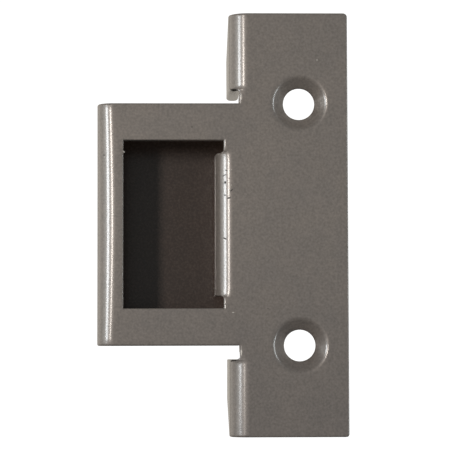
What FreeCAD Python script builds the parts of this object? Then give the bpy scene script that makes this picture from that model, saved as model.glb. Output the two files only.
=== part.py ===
import FreeCAD, Part
import math
import os

os.makedirs("parts", exist_ok=True)

# The sheet and its folds
# X runs to the right of the front view, Y runs back, Z runs up.
# The screw line is at X = 0 and the back of the mounting plate at Y = 0.
sheet = 2.0
fold_inside = 1.0
fold_outside = fold_inside + sheet
front = -sheet
fold_axis_y = front + fold_outside

# Mounting plate
plate_height = 70.0
plate_width = 19.7
screw_to_edge = 8.0
corner_radius = 0.6
plate_top = plate_height / 2
plate_right = screw_to_edge
flange_left = plate_right - plate_width

# Countersunk screw holes, pressed in from the front with a soft rim
screw_pitch = 40.0
screw_hole = 5.2
countersink = 8.6
rim_radius = 0.8

# Latch box: front wall, side wall and rear wall
box_height = 40.0
box_reach = 21.7
box_depth = 16.0
rear_wall_past_flange = sheet
box_top = box_height / 2
box_left = flange_left - box_reach
box_back = front + box_depth
rear_wall_edge = flange_left + rear_wall_past_flange

# Window for the latch in the front wall
window_height = 27.7
window_side_strip = 4.35
window_to_flange = 0.85
window_top = window_height / 2
window_left = box_left + window_side_strip
window_right = flange_left - window_to_flange

# Tongue folded back at the right of the window
tongue_relief = 2.05
tongue_to_flange = 2.2
tongue_depth = 10.0
tongue_top = window_top - tongue_relief
tongue_left = flange_left - tongue_to_flange
tongue_fold_x = tongue_left + fold_outside

# Flanges folded back at the left of the plate, above and below the box
notch_height = 2.3
notch_past_flange = 1.7
flange_depth = box_depth
flange_taper_rise = 6.0
flange_taper_run = 12.5
flange_bottom = box_top + notch_height
flange_fold_x = flange_left + fold_outside
flange_back = front + flange_depth
notch_right = flange_left + notch_past_flange


def flat(x0, x1, y0, y1, z0, z1):
    """A straight stretch of sheet between two opposite corners."""
    corner = FreeCAD.Vector(x0, y0, z0)
    return Part.makeBox(x1 - x0, y1 - y0, z1 - z0, corner)


def fold(x, y, start_angle, z0, z1):
    """A quarter turn of the sheet about an upright axis at x, y."""
    foot = FreeCAD.Vector(x, y, z0)
    up = FreeCAD.Vector(0, 0, 1)
    outer = Part.makeCylinder(fold_outside, z1 - z0, foot, up, 90)
    inner = Part.makeCylinder(fold_inside, z1 - z0, foot, up, 90)
    quarter = outer.cut(inner)
    quarter.rotate(foot, up, start_angle)
    return quarter


def mounting_plate():
    """The flat plate with its two free corners rounded."""
    plate = flat(flange_fold_x, plate_right, front, 0, -plate_top, plate_top)
    corners = [
        edge for edge in plate.Edges
        if abs(edge.CenterOfMass.x - plate_right) < 0.001
        and abs(edge.CenterOfMass.y - front / 2) < 0.001
    ]
    return plate.makeFillet(corner_radius, corners)


def front_wall():
    """Front of the latch box with its window, and the land beside the notches."""
    wall = flat(box_left + fold_outside, flange_fold_x, front, 0, -box_top, box_top)
    land = flat(notch_right, flange_fold_x, front, 0, -flange_bottom, flange_bottom)
    window = flat(window_left, window_right, front, 0, -window_top, window_top)
    tongue_gap = flat(window_left, tongue_fold_x, front, 0, -tongue_top, tongue_top)
    return wall.fuse(land).cut(window).cut(tongue_gap)


def box_walls():
    """Side wall and rear wall behind the front of the latch box."""
    axis_x = box_left + fold_outside
    rear_axis_y = box_back - fold_outside
    return [
        fold(axis_x, fold_axis_y, 180, -box_top, box_top),
        flat(box_left, box_left + sheet, fold_axis_y, rear_axis_y, -box_top, box_top),
        fold(axis_x, rear_axis_y, 90, -box_top, box_top),
        flat(axis_x, rear_wall_edge, box_back - sheet, box_back, -box_top, box_top),
    ]


def tongue():
    """The strip that lies back from the right side of the window."""
    back = front + tongue_depth
    return [
        fold(tongue_fold_x, fold_axis_y, 180, -tongue_top, tongue_top),
        flat(tongue_left, tongue_left + sheet, fold_axis_y, back, -tongue_top, tongue_top),
    ]


def flange(level):
    """One folded flange, upper for level 1 and lower for level -1."""
    near = min(level * flange_bottom, level * plate_top)
    far = max(level * flange_bottom, level * plate_top)
    leg = flat(flange_left, flange_left + sheet, fold_axis_y, flange_back, near, far)
    end = level * plate_top
    taper = Part.makePolygon([
        FreeCAD.Vector(flange_left, flange_back, end),
        FreeCAD.Vector(flange_left, flange_back, end - level * flange_taper_rise),
        FreeCAD.Vector(flange_left, flange_back - flange_taper_run, end),
        FreeCAD.Vector(flange_left, flange_back, end),
    ])
    waste = Part.Face(taper).extrude(FreeCAD.Vector(sheet, 0, 0))
    return [fold(flange_fold_x, fold_axis_y, 180, near, far), leg.cut(waste)]


def screw_cutter(z):
    """Everything the countersunk hole takes out of the plate, on its own axis."""
    throat = screw_hole / 2
    rim = countersink / 2
    # The rim rolls over from the flat to the 45 degree cone
    slope = math.radians(45)
    roll = rim_radius * math.tan(slope / 2)
    arc = []
    for angle in (0, slope / 2, slope):
        out = rim + roll - rim_radius * math.sin(angle)
        drop = rim_radius * (1 - math.cos(angle))
        arc.append(FreeCAD.Vector(out, front + drop, z))
    cone_end = FreeCAD.Vector(throat, front + rim - throat, z)
    back_end = FreeCAD.Vector(throat, sheet, z)
    front_axis = FreeCAD.Vector(0, front, z)
    back_axis = FreeCAD.Vector(0, sheet, z)
    edges = [
        Part.makeLine(front_axis, arc[0]),
        Part.Arc(*arc).toShape(),
        Part.makeLine(arc[2], cone_end),
        Part.makeLine(cone_end, back_end),
        Part.makeLine(back_end, back_axis),
        Part.makeLine(back_axis, front_axis),
    ]
    section = Part.Face(Part.Wire(edges))
    return section.revolve(FreeCAD.Vector(0, 0, z), FreeCAD.Vector(0, 1, 0), 360)


pieces = [front_wall()]
pieces += box_walls()
pieces += tongue()
pieces += flange(1)
pieces += flange(-1)
strike = mounting_plate().fuse(pieces)
for level in (1, -1):
    strike = strike.cut(screw_cutter(level * screw_pitch / 2))
strike = strike.removeSplitter()
strike = strike.Solids[0]
strike.exportStep("parts/strike_plate.step")
print("volume", round(strike.Volume, 1), "valid", strike.isValid())
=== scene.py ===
import bpy
import bmesh
import math
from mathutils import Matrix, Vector


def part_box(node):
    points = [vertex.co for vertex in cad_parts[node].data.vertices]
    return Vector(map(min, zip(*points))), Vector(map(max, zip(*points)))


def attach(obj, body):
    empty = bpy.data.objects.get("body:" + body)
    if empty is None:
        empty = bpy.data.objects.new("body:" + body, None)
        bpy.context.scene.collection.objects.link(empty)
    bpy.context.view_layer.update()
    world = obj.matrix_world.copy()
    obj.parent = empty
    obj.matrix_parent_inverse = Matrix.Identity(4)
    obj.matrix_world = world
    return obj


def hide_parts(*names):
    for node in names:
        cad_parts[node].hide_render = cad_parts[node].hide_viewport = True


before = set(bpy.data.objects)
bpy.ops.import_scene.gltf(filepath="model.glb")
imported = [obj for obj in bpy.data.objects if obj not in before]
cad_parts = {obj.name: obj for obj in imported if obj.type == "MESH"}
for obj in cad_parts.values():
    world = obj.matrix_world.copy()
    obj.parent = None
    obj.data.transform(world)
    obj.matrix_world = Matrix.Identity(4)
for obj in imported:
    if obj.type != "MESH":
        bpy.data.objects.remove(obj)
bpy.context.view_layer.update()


# The blank
# One piece of 2 mm cold rolled steel, punched to outline with its window,
# tongue slots and notches. Lengths are in millimetres, measured along the
# sheet from the free side edge of the plate, and up from its middle.
low, high = [[1000 * value for value in corner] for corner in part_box("strike_plate")]
SHEET = 2.0
OUTSIDE_BEND = 3.0
MIDDLE_BEND = OUTSIDE_BEND - SHEET / 2
BEND_LENGTH = MIDDLE_BEND * math.pi / 2
PLATE_EDGE = high[0]
PLATE_HALF = high[2]
PLATE_MID = low[1] + SHEET / 2
PLATE_WIDTH = 19.7
BOX_WIDTH = high[0] - low[0]
BOX_DEPTH = high[1] - low[1]
BOX_HALF = 20.0
WINDOW_HALF = 13.85
WINDOW_STRIP = 4.35
TONGUE_HALF = 11.8
TONGUE_DEPTH = 10.0
NOTCH_HALF = 22.3
FLANGE_SHIFT = 0.1
FLANGE_TO_NOTCH_END = 1.7
FLANGE_TO_TONGUE = 2.2
FLANGE_TO_SLOT_END = 0.85
FLANGE_BEND = PLATE_WIDTH - FLANGE_SHIFT - OUTSIDE_BEND
FLANGE_LEG = FLANGE_BEND + BEND_LENGTH
FLANGE_END = FLANGE_LEG + BOX_DEPTH - OUTSIDE_BEND
NOTCH_END = PLATE_WIDTH - FLANGE_TO_NOTCH_END
TONGUE_BEND = PLATE_WIDTH + FLANGE_TO_TONGUE - OUTSIDE_BEND
TONGUE_LEG = TONGUE_BEND + BEND_LENGTH
TONGUE_END = TONGUE_LEG + TONGUE_DEPTH - OUTSIDE_BEND
SLOT_END = PLATE_WIDTH + FLANGE_TO_SLOT_END
WINDOW_SIDE = BOX_WIDTH - WINDOW_STRIP
SIDE_BEND = BOX_WIDTH - OUTSIDE_BEND
SIDE_WALL = SIDE_BEND + BEND_LENGTH
REAR_BEND = SIDE_WALL + BOX_DEPTH - 2 * OUTSIDE_BEND
REAR_WALL = REAR_BEND + BEND_LENGTH
REAR_END = REAR_WALL + SIDE_BEND - PLATE_WIDTH + SHEET
UPPER_CORNER = 0.7
LOWER_CORNER = 0.5
SCREW_LINE = PLATE_EDGE
SCREW_HALF = 20.0
SCREW_PATCH = 6.0

# The blank is ruled into cells, whose lines lie closer together where it bends
WIDE_STEP = 1.0
CLOSE_STEP = 0.27
LEAST_STEP = 0.03
BEND_RUN_IN = 1.0
BEND_AREAS = [(FLANGE_BEND - BEND_RUN_IN, TONGUE_LEG), (SIDE_BEND, SIDE_WALL), (REAR_BEND, REAR_WALL)]
CUT_AREAS = [(TONGUE_HALF - 1, TONGUE_HALF + 0.6), (NOTCH_HALF - 0.6, NOTCH_HALF + 1.2)]


def beside(edge, roll):
    """Lines that follow the roll of an edge: roll is below 0 if the metal is on that side."""
    return [edge + roll * (1 - math.sin(math.radians(angle))) for angle in (0, 22.5, 45, 67.5, 90)]


def ruled(marks, areas):
    """Lines at every mark, with even lines between them, closer in the areas of a fold."""
    lines = sorted(marks)
    filled = lines[:1]
    for mark in lines[1:]:
        start = filled[-1]
        middle = (start + mark) / 2
        step = CLOSE_STEP if any(a < middle < b for a, b in areas) else WIDE_STEP
        if mark - start > LEAST_STEP:
            count = math.ceil((mark - start) / step)
            filled += [start + (mark - start) * k / count for k in range(1, count + 1)]
    return filled


along_marks = [UPPER_CORNER, FLANGE_BEND, TONGUE_BEND]
along_marks += [end for area in BEND_AREAS for end in area]
for edge, roll in [(0, 0.6), (NOTCH_END, -0.45), (SLOT_END, -0.4), (WINDOW_SIDE, 0.15),
                   (TONGUE_END, -0.2), (FLANGE_END, -0.9), (REAR_END, -0.2)]:
    along_marks += beside(edge, roll)
along = ruled(along_marks, BEND_AREAS)

up_marks = [0.0, PLATE_HALF - UPPER_CORNER]
for edge, roll in [(TONGUE_HALF, -0.25), (TONGUE_HALF, 0.4), (WINDOW_HALF, 0.3), (BOX_HALF, -0.3),
                   (NOTCH_HALF, -0.4), (NOTCH_HALF, 0.25), (NOTCH_HALF, 0.85), (PLATE_HALF, -0.6)]:
    up_marks += beside(edge, roll)
upper = ruled(up_marks, CUT_AREAS)
up = [-z for z in reversed(upper[1:])] + upper


def is_steel(s, z):
    """Whether the blank has metal at this place."""
    if s < FLANGE_BEND:
        return True
    z = abs(z)
    if z > NOTCH_HALF:
        return s < FLANGE_END
    if z > BOX_HALF:
        return s < NOTCH_END
    if z > WINDOW_HALF:
        return True
    if z > TONGUE_HALF:
        return s < SLOT_END or s > WINDOW_SIDE
    return s < TONGUE_END or s > WINDOW_SIDE


def in_screw_patch(s, z):
    """Whether this place is in a square that is left open for a screw hole."""
    return abs(s - SCREW_LINE) < SCREW_PATCH and abs(abs(z) - SCREW_HALF) < SCREW_PATCH


blank = bmesh.new()
back_side = blank.verts.layers.float.new("back_side")
corner_of = {}


def blank_corner(i, j, depth):
    """The vertex where two lines of the blank cross, at this depth in the sheet."""
    key = (i, j, depth)
    if key not in corner_of:
        corner_of[key] = blank.verts.new((along[i], depth, up[j]))
    return corner_of[key]


def cell_sides(i, j):
    """The corners of one cell of the ruled blank, and the cells next to it."""
    corners = [(i, j), (i + 1, j), (i + 1, j + 1), (i, j + 1)]
    neighbours = [(i, j - 1), (i + 1, j), (i, j + 1), (i - 1, j)]
    return corners, neighbours


cells = set()
patch_cells = set()
for i in range(len(along) - 1):
    for j in range(len(up) - 1):
        s = (along[i] + along[i + 1]) / 2
        z = (up[j] + up[j + 1]) / 2
        if is_steel(s, z):
            cells.add((i, j))
            if in_screw_patch(s, z):
                patch_cells.add((i, j))

for i, j in sorted(cells):
    corners, neighbours = cell_sides(i, j)
    if (i, j) not in patch_cells:
        blank.faces.new([blank_corner(a, b, 0.0) for a, b in corners])
        blank.faces.new([blank_corner(a, b, SHEET) for a, b in reversed(corners)])
    for k in range(4):
        if neighbours[k] not in cells:
            a, b = corners[k], corners[(k + 1) % 4]
            blank.faces.new([blank_corner(*b, 0.0), blank_corner(*a, 0.0),
                             blank_corner(*a, SHEET), blank_corner(*b, SHEET)])


# Screw holes
# Each is punched, then countersunk with a press, so the metal rolls over
# softly into a 45 degree cone that ends in a short bore at the back.
BORE = 2.6
CONE = 4.4
CONE_ROLL = 1.1
CONE_SLOPE = math.radians(45)
CONE_ROLL_STEPS = 5
CONE_RING = 0.9
BORE_EDGE = 0.08
BACK_RING = 0.8
HOLE_FIELD = 5.3


def ring_radii():
    """Radius and depth of each ring, from the flat front to the flat back."""
    rings = [(HOLE_FIELD, 0.0)]
    start = CONE + CONE_ROLL * math.tan(CONE_SLOPE / 2)
    for k in range(CONE_ROLL_STEPS + 1):
        angle = CONE_SLOPE * k / CONE_ROLL_STEPS
        rings.append((start - CONE_ROLL * math.sin(angle), CONE_ROLL * (1 - math.cos(angle))))
    cone_end = CONE - BORE
    rings += [(BORE + CONE_RING, cone_end - CONE_RING), (BORE + BORE_EDGE, cone_end - BORE_EDGE)]
    rings += [(BORE, cone_end + BORE_EDGE), (BORE, SHEET - BORE_EDGE), (BORE + BORE_EDGE, SHEET)]
    rings += [(BORE + BACK_RING, SHEET), (HOLE_FIELD, SHEET)]
    return rings


for side in (-1, 1):
    middle = side * SCREW_HALF
    turn_of = {}
    for i, j in sorted(patch_cells):
        if side * (up[j] + up[j + 1]) > 0:
            corners, neighbours = cell_sides(i, j)
            for k in range(4):
                if neighbours[k] not in patch_cells:
                    for a, b in (corners[k], corners[(k + 1) % 4]):
                        turn_of[(a, b)] = math.atan2(up[b] - middle, along[a] - SCREW_LINE)
    keys = sorted(turn_of, key=turn_of.get)
    loops = [[blank_corner(*key, 0.0) for key in keys]]
    for radius, depth in ring_radii():
        loops.append([
            blank.verts.new((SCREW_LINE + radius * math.cos(turn_of[key]), depth,
                             middle + radius * math.sin(turn_of[key])))
            for key in keys])
    loops.append([blank_corner(*key, SHEET) for key in keys])
    for outer, inner in zip(loops, loops[1:]):
        for k in range(len(keys)):
            n = (k + 1) % len(keys)
            blank.faces.new([outer[k], outer[n], inner[n], inner[k]])


# Edges
# Punching and tumbling roll the sheet's edges over, most of all at the ends
# of the flanges, and round the plate's two free corners. A small burr stands
# into the window from its left edge. Each cut is a path of corners and rolls.
BURR_PLACE = 11.9
BURR_HALF = 0.28
BURR_ROOT = 0.5
BURR_REACH = 0.32


def outline(notch_roll):
    """The outer cut, with this roll along the flange's end beside the notch."""
    return [
        (0, 0, 0.2), (0, PLATE_HALF, 0.2), (FLANGE_BEND, PLATE_HALF, 0.2),
        (FLANGE_END, PLATE_HALF, 0.25), (FLANGE_END, NOTCH_HALF, 0.9),
        (FLANGE_END - 0.05, NOTCH_HALF, notch_roll),
        (FLANGE_LEG + 3, NOTCH_HALF, notch_roll), (FLANGE_LEG, NOTCH_HALF, 0.75),
        (NOTCH_END + 0.5, NOTCH_HALF, 0.35), (NOTCH_END, NOTCH_HALF, 0.25),
        (NOTCH_END, BOX_HALF + 1.2, 0.45), (NOTCH_END, BOX_HALF, 0.3),
        (SLOT_END, BOX_HALF, 0.3), (REAR_END, BOX_HALF, 0.3), (REAR_END, 0, 0.2)]


def window(slot_roll, corner_roll):
    """The window's cut, with these rolls along the slot's edge and in its corner."""
    return [
        (TONGUE_END, 0, 0.2), (TONGUE_END, TONGUE_HALF, 0.2), (SLOT_END, TONGUE_HALF, slot_roll),
        (SLOT_END, WINDOW_HALF, corner_roll), (SLOT_END + 0.3, WINDOW_HALF, 0.15),
        (WINDOW_SIDE, WINDOW_HALF, 0.15), (WINDOW_SIDE, 0, 0.15)]


UPPER_CUTS = [outline(0.6), window(0.42, 0.36)]
LOWER_CUTS = [outline(0.2), window(0.36, 0.28)]


def edge_drop(s, z, cuts):
    """How far the rolled edge has dropped from the flat of the sheet at this place."""
    drop = 0.0
    for path in cuts:
        for (s0, z0, roll0), (s1, z1, roll1) in zip(path, path[1:]):
            share = ((s - s0) * (s1 - s0) + (z - z0) * (z1 - z0)) / ((s1 - s0) ** 2 + (z1 - z0) ** 2)
            share = min(1.0, max(0.0, share))
            roll = roll0 + share * (roll1 - roll0)
            inset = math.hypot(s - s0 - share * (s1 - s0), z - z0 - share * (z1 - z0))
            if inset < roll:
                drop = max(drop, roll - math.sqrt(max(0.0, roll ** 2 - (roll - inset) ** 2)))
    return drop


for v in blank.verts:
    s, depth, z = v.co
    v[back_side] = depth / SHEET
    if not in_screw_patch(s, z):
        drop = edge_drop(s, abs(z), UPPER_CUTS if z > 0 else LOWER_CUTS)
        v.co.y = min(SHEET - drop, max(drop, depth))
        if depth == 0:
            burr = max(0.0, 1 - abs(z - BURR_PLACE) / BURR_HALF)
            burr *= max(0.0, 1 - abs(s - WINDOW_SIDE) / BURR_ROOT)
            v.co.x -= BURR_REACH * burr
        rounding = UPPER_CORNER if z > 0 else LOWER_CORNER
        in_s, in_z = rounding - s, rounding - (PLATE_HALF - abs(z))
        if in_s > 0 and in_z > 0:
            squeeze = max(in_s, in_z) / math.hypot(in_s, in_z)
            v.co.x = rounding - in_s * squeeze
            v.co.z = math.copysign(PLATE_HALF - rounding + in_z * squeeze, z)


# The folds
# The blank is folded on a press: flanges and tongue back, then the box's
# side and rear walls. The bends tighten towards the ends of flanges and
# tongue, die away beside the cuts, and open a little along the window.
FLANGE_RADIUS = 2.15
FLANGE_END_RADIUS = 1.85
TONGUE_RADIUS = 1.87
TONGUE_END_RADIUS = 1.6
TIGHT_STRETCH = 0.7
FLANGE_LAND_FADE = 0.8
TONGUE_LAND_FADE = 0.4
LAND_DRIFT = 2.0
NEARLY_FLAT = 0.01
CUT_CORNER = 0.45
LEAST_ARM = 0.1
TOUCHING = 0.001
SIDE_RADIUS = 1.7
SIDE_BEND_BOW = 0.45
TAPER_RISE = 6.0
TAPER_RUN = 12.5


def ease(value):
    """Runs softly from 0 to 1 while the value does, and stays there."""
    value = min(1.0, max(0.0, value))
    return value * value * (3 - 2 * value)


def on_bend(depth, start_x, radius, angle):
    """Place on a bend of this middle radius, turned back by an angle from the flat."""
    arm = max(LEAST_ARM, radius + SHEET / 2 - depth)
    return start_x - arm * math.sin(angle), PLATE_MID + radius - arm * math.cos(angle)


def on_flat(s, depth, start, start_x):
    """Place on the flat, which shifts over its last stretch to where the bend starts."""
    drift = start_x - (PLATE_EDGE - start)
    run_in = max(0.0, 1 - (start - s) / BEND_RUN_IN)
    return PLATE_EDGE - s + drift * run_in, PLATE_MID + depth - SHEET / 2


def on_strip(s, depth, start, end, radius):
    """Place on a strip that is folded square, from the plate to the strip's end."""
    leg_x = PLATE_EDGE - start - MIDDLE_BEND
    turn = (s - start) / BEND_LENGTH
    if turn <= 0:
        return on_flat(s, depth, start, leg_x + radius)
    if turn <= 1:
        return on_bend(depth, leg_x + radius, radius, turn * math.pi / 2)
    leg = end - start - BEND_LENGTH
    slack = (MIDDLE_BEND - radius) * (1 - (s - start - BEND_LENGTH) / leg)
    return leg_x + depth - SHEET / 2, PLATE_MID + MIDDLE_BEND - slack + s - start - BEND_LENGTH


def on_land(s, depth, start, cut, away, end_radius, fade):
    """Place on the flat beside a strip, this far from it and up to a cut that ends the flat."""
    full_start = PLATE_EDGE - start - MIDDLE_BEND + end_radius
    full_cut = on_bend(0.0, full_start, end_radius, (cut - start) / MIDDLE_BEND)[0]
    start_x = PLATE_EDGE - start + (full_start - PLATE_EDGE + start) * (1 - ease(away / LAND_DRIFT))
    cut_x = PLATE_EDGE - cut + (full_cut - PLATE_EDGE + cut) * max(0.0, 1 - away / CUT_CORNER) ** 2
    if s <= start:
        return on_flat(s, depth, start, start_x)
    share = (s - start) / (cut - start)
    fullness = 1 - ease(away / fade)
    if fullness < NEARLY_FLAT:
        return start_x - share * (start_x - cut_x), PLATE_MID + depth - SHEET / 2
    radius = end_radius / fullness
    return on_bend(depth, start_x, radius, share * math.asin((start_x - cut_x) / (radius + SHEET / 2)))


def tightened(radius, end_radius, inset):
    """The middle radius of a strip's bend, this far from the strip's end."""
    return radius - (radius - end_radius) * max(0.0, 1 - inset / TIGHT_STRETCH) ** 2


def on_box(s, depth, z):
    """Place on the latch box: front wall, side wall and rear wall."""
    radius = SIDE_RADIUS + SIDE_BEND_BOW * (1 - (z / BOX_HALF) ** 2)
    if s <= REAR_BEND:
        return on_strip(s, depth, SIDE_BEND, REAR_BEND, radius)
    turn = min(1.0, (s - REAR_BEND) / BEND_LENGTH) * math.pi / 2
    arm = OUTSIDE_BEND - depth
    x = PLATE_EDGE - SIDE_BEND - arm * math.cos(turn)
    y = high[1] - OUTSIDE_BEND + arm * math.sin(turn)
    return x + max(0.0, s - REAR_WALL), y


def folded(s, depth, z):
    """Place in the folded part of a point of the blank, in millimetres."""
    z = abs(z)
    if z > NOTCH_HALF - TOUCHING:
        radius = tightened(FLANGE_RADIUS, FLANGE_END_RADIUS, z - NOTCH_HALF)
        return on_strip(s, depth, FLANGE_BEND, FLANGE_END, radius)
    if z > BOX_HALF and s < NOTCH_END + TOUCHING:
        away = NOTCH_HALF - z
        return on_land(s, depth, FLANGE_BEND, NOTCH_END, away, FLANGE_END_RADIUS, FLANGE_LAND_FADE)
    if z < TONGUE_HALF + TOUCHING and s < TONGUE_END + TOUCHING:
        radius = tightened(TONGUE_RADIUS, TONGUE_END_RADIUS, TONGUE_HALF - z)
        return on_strip(s, depth, TONGUE_BEND, TONGUE_END, radius)
    if z < WINDOW_HALF and s < SLOT_END + TOUCHING:
        away = z - TONGUE_HALF
        return on_land(s, depth, TONGUE_BEND, SLOT_END, away, TONGUE_END_RADIUS, TONGUE_LAND_FADE)
    return on_box(s, depth, z)


for v in blank.verts:
    s, depth, z = v.co
    x, y = folded(s, depth, z)
    past_taper = y - high[1] + TAPER_RUN
    if abs(z) > NOTCH_HALF and s > FLANGE_BEND and past_taper > 0:
        top = PLATE_HALF - TAPER_RISE * past_taper / TAPER_RUN
        share = (abs(z) - NOTCH_HALF) / (PLATE_HALF - NOTCH_HALF)
        z = math.copysign(NOTCH_HALF + share * (top - NOTCH_HALF), z)
    v.co = Vector((x, y, z)) / 1000

bmesh.ops.recalc_face_normals(blank, faces=blank.faces)
strike_mesh = bpy.data.meshes.new("strike_plate_sheet")
blank.to_mesh(strike_mesh)
blank.free()
strike_mesh.shade_smooth()
strike = bpy.data.objects.new("strike_plate_sheet", strike_mesh)
bpy.context.scene.collection.objects.link(strike)
even = strike.modifiers.new("even_shading", "WEIGHTED_NORMAL")
even.weight = 80
even.keep_sharp = True


# The paint
# Silver-grey metallic paint, sprayed and stoved: fine flake, a slight
# orange peel and a clear satin gloss.
FLAKE_SCALE = 2600
CLOUD_SCALE = 260
PEEL_SCALE = 900
DARK_FLAKE = (0.135, 0.117, 0.102)
LIGHT_FLAKE = (0.197, 0.169, 0.148)
COOL_CLOUD = (0.95, 0.955, 0.965)
WARM_CLOUD = (1.05, 1.04, 1.03)
METAL_SHARE = 0.2
PAINT_ROUGHNESS = 0.42
COAT_ROUGHNESS = 0.2
PEEL_STRENGTH = 0.1
PEEL_DEPTH = 0.0001
paint = bpy.data.materials.new("silver_grey_paint")
paint.use_nodes = True
nodes = paint.node_tree.nodes
links = paint.node_tree.links
shader = nodes["Principled BSDF"]
place = nodes.new("ShaderNodeTexCoord")


def noise(scale, detail):
    """A fine pattern that stays in place on the steel."""
    node = nodes.new("ShaderNodeTexNoise")
    node.inputs["Scale"].default_value = scale
    node.inputs["Detail"].default_value = detail
    links.new(place.outputs["Object"], node.inputs["Vector"])
    return node.outputs["Fac"]


def toned(value, low, first, high, last):
    """Colours that run from the first at low to the last at high."""
    ramp = nodes.new("ShaderNodeValToRGB")
    for end, position, colour in ((0, low, first), (1, high, last)):
        ramp.color_ramp.elements[end].position = position
        ramp.color_ramp.elements[end].color = (*colour, 1)
    links.new(value, ramp.inputs["Fac"])
    return ramp.outputs["Color"]


def slope(value, low, high, start, end):
    """A value that runs from start at low to end at high."""
    node = nodes.new("ShaderNodeMapRange")
    node.inputs["From Min"].default_value = low
    node.inputs["From Max"].default_value = high
    node.inputs["To Min"].default_value = start
    node.inputs["To Max"].default_value = end
    links.new(value, node.inputs["Value"])
    return node.outputs["Result"]


def extreme(choice, first, second):
    """The smaller (MINIMUM) or larger (MAXIMUM) of two values."""
    node = nodes.new("ShaderNodeMath")
    node.operation = choice
    links.new(first, node.inputs[0])
    links.new(second, node.inputs[1])
    return node.outputs["Value"]


def laid_over(colour, strength, cover, blend="MIX"):
    """The colour with this much of another one laid over it, or multiplied in."""
    node = nodes.new("ShaderNodeMix")
    node.data_type = "RGBA"
    node.blend_type = blend
    node.inputs["B"].default_value = (*cover, 1)
    links.new(colour, node.inputs["A"])
    links.new(strength, node.inputs["Factor"])
    return node.outputs["Result"]


flake = noise(FLAKE_SCALE, 2)
cloudy = nodes.new("ShaderNodeMix")
cloudy.data_type = "RGBA"
cloudy.blend_type = "MULTIPLY"
cloudy.inputs["Factor"].default_value = 1.0
links.new(toned(flake, 0.28, DARK_FLAKE, 0.72, LIGHT_FLAKE), cloudy.inputs["A"])
links.new(toned(noise(CLOUD_SCALE, 3), 0.3, COOL_CLOUD, 0.7, WARM_CLOUD), cloudy.inputs["B"])

# Painted shade: the paint is darkened towards the bottom of the plate, where less light falls on it.
# The back of the sheet, which lines the inside of the box, is tinted very dark and brown to stand in
# for the shade in the box, keeping single bright flakes.
FOOT_SHADE_LEVEL = -0.035
FOOT_SHADE_TINT = (0.84, 0.84, 0.86)
# Painted shade: the back of the sheet, which lines the inside of the box, is tinted very dark and
# brown.
BACK_SHADE_TINT = (0.18, 0.072, 0.015)
height = nodes.new("ShaderNodeSeparateXYZ")
links.new(place.outputs["Object"], height.inputs["Vector"])
coat_side = nodes.new("ShaderNodeAttribute")
coat_side.attribute_name = "back_side"
# Painted shade: the paint turns darker towards the bottom of the plate.
painted_foot_shade = slope(height.outputs["Z"], FOOT_SHADE_LEVEL, 0, 1, 0)
painted_back_shade = slope(coat_side.outputs["Fac"], 0.8, 1, 0, 1)
dull_flake = slope(flake, 0.42, 0.66, 1, 0.88)
foot_shaded = laid_over(cloudy.outputs["Result"], painted_foot_shade, FOOT_SHADE_TINT, "MULTIPLY")
# Plate colour with the painted shade at the bottom and on the back of the sheet.
shaded_paint = laid_over(foot_shaded, extreme("MINIMUM", painted_back_shade, dull_flake), BACK_SHADE_TINT, "MULTIPLY")

# Marks of use: nicks along the tongue's bend, where the latch strikes it, and specks. Painted shade: a
# near-black patch in the pinch at each flange's cut end beside the notch. Painted highlights: light
# streaks on the burrs at the window's left edge and along the notches' rolled end edges.
# Each has its place, half length, half height, tilt and depth of colour.
MARK_DEPTH = 1.6
# Dark colour of the nicks and of the painted shade in the pinches.
NICK_AND_SHADE_DARK = (0.02, 0.017, 0.014)
# Light colour of the specks and of the painted highlights on burrs and rolled edges.
SPECK_AND_GLINT_LIGHT = (0.62, 0.58, 0.52)
NICK_AND_SHADE_ROUGHNESS = 0.9
DARK_MARKS = [
    (-12.30, -1.7, 6.87, 0.14, 0.22, 10, 0.97), (-12.34, -1.7, 4.76, 0.14, 0.13, 0, 0.95),
    (-12.10, -1.8, 8.84, 0.27, 0.08, -28, 0.8), (-12.38, -1.65, 8.06, 0.34, 0.08, 26, 0.8),
    (-11.62, -1.9, 7.57, 0.20, 0.07, 0, 0.7), (-12.57, -1.6, 6.62, 0.08, 0.08, 0, 0.6),
    (-12.34, -1.65, -2.40, 0.33, 0.10, -26, 0.9),
    (-11.23, -2.0, 5.56, 0.30, 0.11, 42, 0.9), (-11.67, -1.93, 4.28, 0.32, 0.13, 15, 0.9),
    (-32.23, -1.2, 11.42, 0.16, 0.13, 0, 0.5),
    (-17.73, -2.0, 16.02, 0.13, 0.13, 0, 0.7), (-5.30, -2.0, -13.94, 0.14, 0.10, 0, 0.4),
    # These two are painted shade: near-black patches in the pinches at the flanges' cut ends.
    (-10.85, -0.7, 22.18, 0.76, 0.36, 6, 0.95), (-10.88, -1.1, -22.32, 0.72, 0.26, 8, 0.95)]
LIGHT_MARKS = [
    (2.98, -2.0, 27.17, 0.12, 0.10, 0, 0.5), (-11.02, -2.0, -14.57, 0.18, 0.08, 0, 0.6),
    # These two are painted highlights on the burrs at the window's left edge.
    (-28.92, -1.9, 11.91, 0.26, 0.12, -42, 0.5), (-28.95, -1.9, -12.24, 0.20, 0.15, 0, 0.5),
    (-11.24, -2.0, 8.95, 0.08, 0.07, 0, 0.5), (-11.24, -2.0, 6.42, 0.08, 0.07, 0, 0.5),
    # The last two light marks are painted highlights along the notches' rolled end edges.
    (-32.16, -1.25, 11.12, 0.10, 0.09, 0, 0.4), (-9.58, -2.0, 21.05, 0.13, 0.50, 0, 0.5),
    (-9.69, -2.0, -21.12, 0.12, 0.46, 0, 0.6)]


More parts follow.
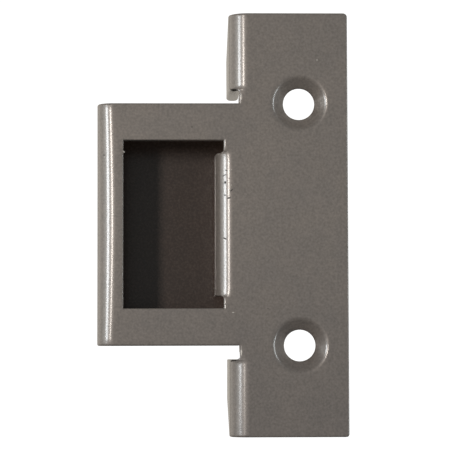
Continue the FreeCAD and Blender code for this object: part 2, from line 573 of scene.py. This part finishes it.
def marked(marks):
    """How strongly a place lies within any of these marks."""
    spots = []
    for x, y, z, long, tall, tilt, depth in marks:
        local = nodes.new("ShaderNodeMapping")
        local.vector_type = "TEXTURE"
        local.inputs["Location"].default_value = (x / 1000, y / 1000, z / 1000)
        local.inputs["Rotation"].default_value = (0, -math.radians(tilt), 0)
        local.inputs["Scale"].default_value = (long / 1000, MARK_DEPTH / 1000, tall / 1000)
        links.new(place.outputs["Object"], local.inputs["Vector"])
        reach = nodes.new("ShaderNodeVectorMath")
        reach.operation = "LENGTH"
        links.new(local.outputs["Vector"], reach.inputs[0])
        spots.append(slope(reach.outputs["Value"], 0.7, 1.3, depth, 0))
    strength = spots[0]
    for spot in spots[1:]:
        strength = extreme("MAXIMUM", strength, spot)
    return strength


# Dark marks are nicks and painted shade; light marks are specks and painted highlights.
nicks_and_shade = marked(DARK_MARKS)
nicked_and_shaded = laid_over(shaded_paint, nicks_and_shade, NICK_AND_SHADE_DARK)
speckled_and_glinting = laid_over(nicked_and_shaded, marked(LIGHT_MARKS), SPECK_AND_GLINT_LIGHT)
links.new(speckled_and_glinting, shader.inputs["Base Color"])
links.new(slope(nicks_and_shade, 0, 1, METAL_SHARE, 0), shader.inputs["Metallic"])
links.new(slope(nicks_and_shade, 0, 1, 1, 0), shader.inputs["Coat Weight"])
links.new(slope(nicks_and_shade, 0, 1, PAINT_ROUGHNESS, NICK_AND_SHADE_ROUGHNESS), shader.inputs["Roughness"])
shader.inputs["Coat Roughness"].default_value = COAT_ROUGHNESS
bump = nodes.new("ShaderNodeBump")
bump.inputs["Strength"].default_value = PEEL_STRENGTH
bump.inputs["Distance"].default_value = PEEL_DEPTH
links.new(noise(PEEL_SCALE, 2), bump.inputs["Height"])
links.new(bump.outputs["Normal"], shader.inputs["Normal"])
strike_mesh.materials.append(paint)

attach(strike, "root")
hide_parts("strike_plate")


# Studio
# A pale floor well below the part, white all round but dim in front, four
# soft lights at the left from warm in front to wide behind, a narrow upright
# one near at the right, and the camera nearly square on, a little low.
FLOOR_LEVEL = -0.25
FLOOR_REACH = 0.3
FLOOR_SEEN = (0.9, 0.9, 0.9, 1)
FLOOR_REFLECTED = (0.12, 0.12, 0.12, 1)
floor_mesh = bpy.data.meshes.new("pale_floor")
floor_mesh.from_pydata([(FLOOR_REACH * a, FLOOR_REACH * b, FLOOR_LEVEL)
                        for a, b in ((-1, -1), (1, -1), (1, 1), (-1, 1))], [], [(0, 1, 2, 3)])
floor = bpy.data.objects.new("pale_floor", floor_mesh)
bpy.context.scene.collection.objects.link(floor)
floor_paint = bpy.data.materials.new("pale_floor")
floor_paint.use_nodes = True
floor_nodes = floor_paint.node_tree.nodes
floor_shader = floor_nodes["Principled BSDF"]
floor_shader.inputs["Roughness"].default_value = 0.8
floor_ray = floor_nodes.new("ShaderNodeLightPath")
floor_tone = floor_nodes.new("ShaderNodeValToRGB")
floor_tone.color_ramp.elements[0].color = FLOOR_REFLECTED
floor_tone.color_ramp.elements[1].color = FLOOR_SEEN
floor_paint.node_tree.links.new(floor_ray.outputs["Is Camera Ray"], floor_tone.inputs["Fac"])
floor_paint.node_tree.links.new(floor_tone.outputs["Color"], floor_shader.inputs["Base Color"])
floor_mesh.materials.append(floor_paint)

SEEN_WHITE = 1.1
FRONT_GLOW = (0.215, 0.225, 0.225, 1)
BACK_GLOW = (0.55, 0.51, 0.45, 1)
BELOW_SHARE = (0.2, 0.2, 0.2, 1)
LEVEL_SHARE = (1, 1, 1, 1)
ABOVE_SHARE = (0.85, 0.85, 0.85, 1)
world = bpy.data.worlds.new("white_studio")
bpy.context.scene.world = world
world.use_nodes = True
sky_nodes = world.node_tree.nodes
sky_links = world.node_tree.links
seen = sky_nodes["Background"]
seen.inputs["Color"].default_value = (1, 1, 1, 1)
seen.inputs["Strength"].default_value = SEEN_WHITE
soft = sky_nodes.new("ShaderNodeBackground")
heading = sky_nodes.new("ShaderNodeTexCoord")
parts = sky_nodes.new("ShaderNodeSeparateXYZ")
sky_links.new(heading.outputs["Generated"], parts.inputs["Vector"])


def sky_ramp(axis, stops):
    """Colours along one axis of the direction, from -1 to 1."""
    share = sky_nodes.new("ShaderNodeMapRange")
    share.inputs["From Min"].default_value = -1
    sky_links.new(parts.outputs[axis], share.inputs["Value"])
    ramp = sky_nodes.new("ShaderNodeValToRGB")
    ramp.color_ramp.interpolation = "EASE"
    for k, (position, colour) in enumerate(stops):
        spot = ramp.color_ramp.elements[k] if k < 2 else ramp.color_ramp.elements.new(1.0)
        spot.position = (position + 1) / 2
        spot.color = colour
    sky_links.new(share.outputs["Result"], ramp.inputs["Fac"])
    return ramp.outputs["Color"]


around = sky_nodes.new("ShaderNodeMix")
around.data_type = "RGBA"
around.blend_type = "MULTIPLY"
around.inputs["Factor"].default_value = 1.0
sky_links.new(sky_ramp("Y", [(-0.3, FRONT_GLOW), (0.6, BACK_GLOW)]), around.inputs["A"])
rising = [(-0.6, BELOW_SHARE), (-0.24, LEVEL_SHARE), (0.24, LEVEL_SHARE), (0.7, ABOVE_SHARE)]
sky_links.new(sky_ramp("Z", rising), around.inputs["B"])
sky_links.new(around.outputs["Result"], soft.inputs["Color"])
sky_ray = sky_nodes.new("ShaderNodeLightPath")
either = sky_nodes.new("ShaderNodeMixShader")
sky_links.new(sky_ray.outputs["Is Camera Ray"], either.inputs["Fac"])
sky_links.new(soft.outputs["Background"], either.inputs[1])
sky_links.new(seen.outputs["Background"], either.inputs[2])
sky_links.new(either.outputs["Shader"], sky_nodes["World Output"].inputs["Surface"])
bpy.context.scene.view_settings.view_transform = "Standard"

PART_MIDDLE = Vector((-0.012, 0, 0))


def panel_light(name, angle, rise, distance, width, height, glow, colour):
    """A soft panel at this angle round the part from its front, to the left."""
    data = bpy.data.lights.new(name, "AREA")
    data.shape = "RECTANGLE"
    data.size = width
    data.size_y = height
    data.energy = glow * math.pi * width * height
    data.color = colour
    lamp = bpy.data.objects.new(name, data)
    bpy.context.scene.collection.objects.link(lamp)
    turn, lift = math.radians(angle), math.radians(rise)
    away = Vector((-math.sin(turn) * math.cos(lift), -math.cos(turn) * math.cos(lift), math.sin(lift)))
    lamp.location = PART_MIDDLE + away * distance
    lamp.rotation_euler = away.to_track_quat("Z", "Y").to_euler()


panel_light("warm_panel", 25.3, 5.7, 0.8, 0.077, 0.17, 49, (1.0, 0.92, 0.85))
panel_light("cool_panel", 51, 5.3, 0.6, 0.14, 0.17, 21, (0.93, 0.97, 1.0))
panel_light("wide_panel", 71, 6, 0.6, 0.28, 0.3, 1.3, (0.97, 1.0, 0.97))
panel_light("left_panel", 110, 6, 0.6, 0.55, 0.35, 0.55, (1.0, 0.97, 0.91))
panel_light("side_panel", -63, 0, 0.3, 0.06, 0.22, 9.2, (0.89, 0.96, 1.0))

SENSOR = 36
LENS = 162.65
CAMERA_PLACE = (-0.02195, -0.33569, -0.02054)
CAMERA_TURN = 1.642
CAMERA_RISE = 3.49
CAMERA_ROLL = 0.15
camera_data = bpy.data.cameras.new("camera")
camera_data.sensor_width = SENSOR
camera_data.lens = LENS
camera_data.clip_start = 0.01
camera = bpy.data.objects.new("camera", camera_data)
bpy.context.scene.collection.objects.link(camera)
camera.location = CAMERA_PLACE
camera.rotation_euler = [math.radians(angle) for angle in (90 + CAMERA_RISE, CAMERA_ROLL, -CAMERA_TURN)]
bpy.context.scene.camera = camera
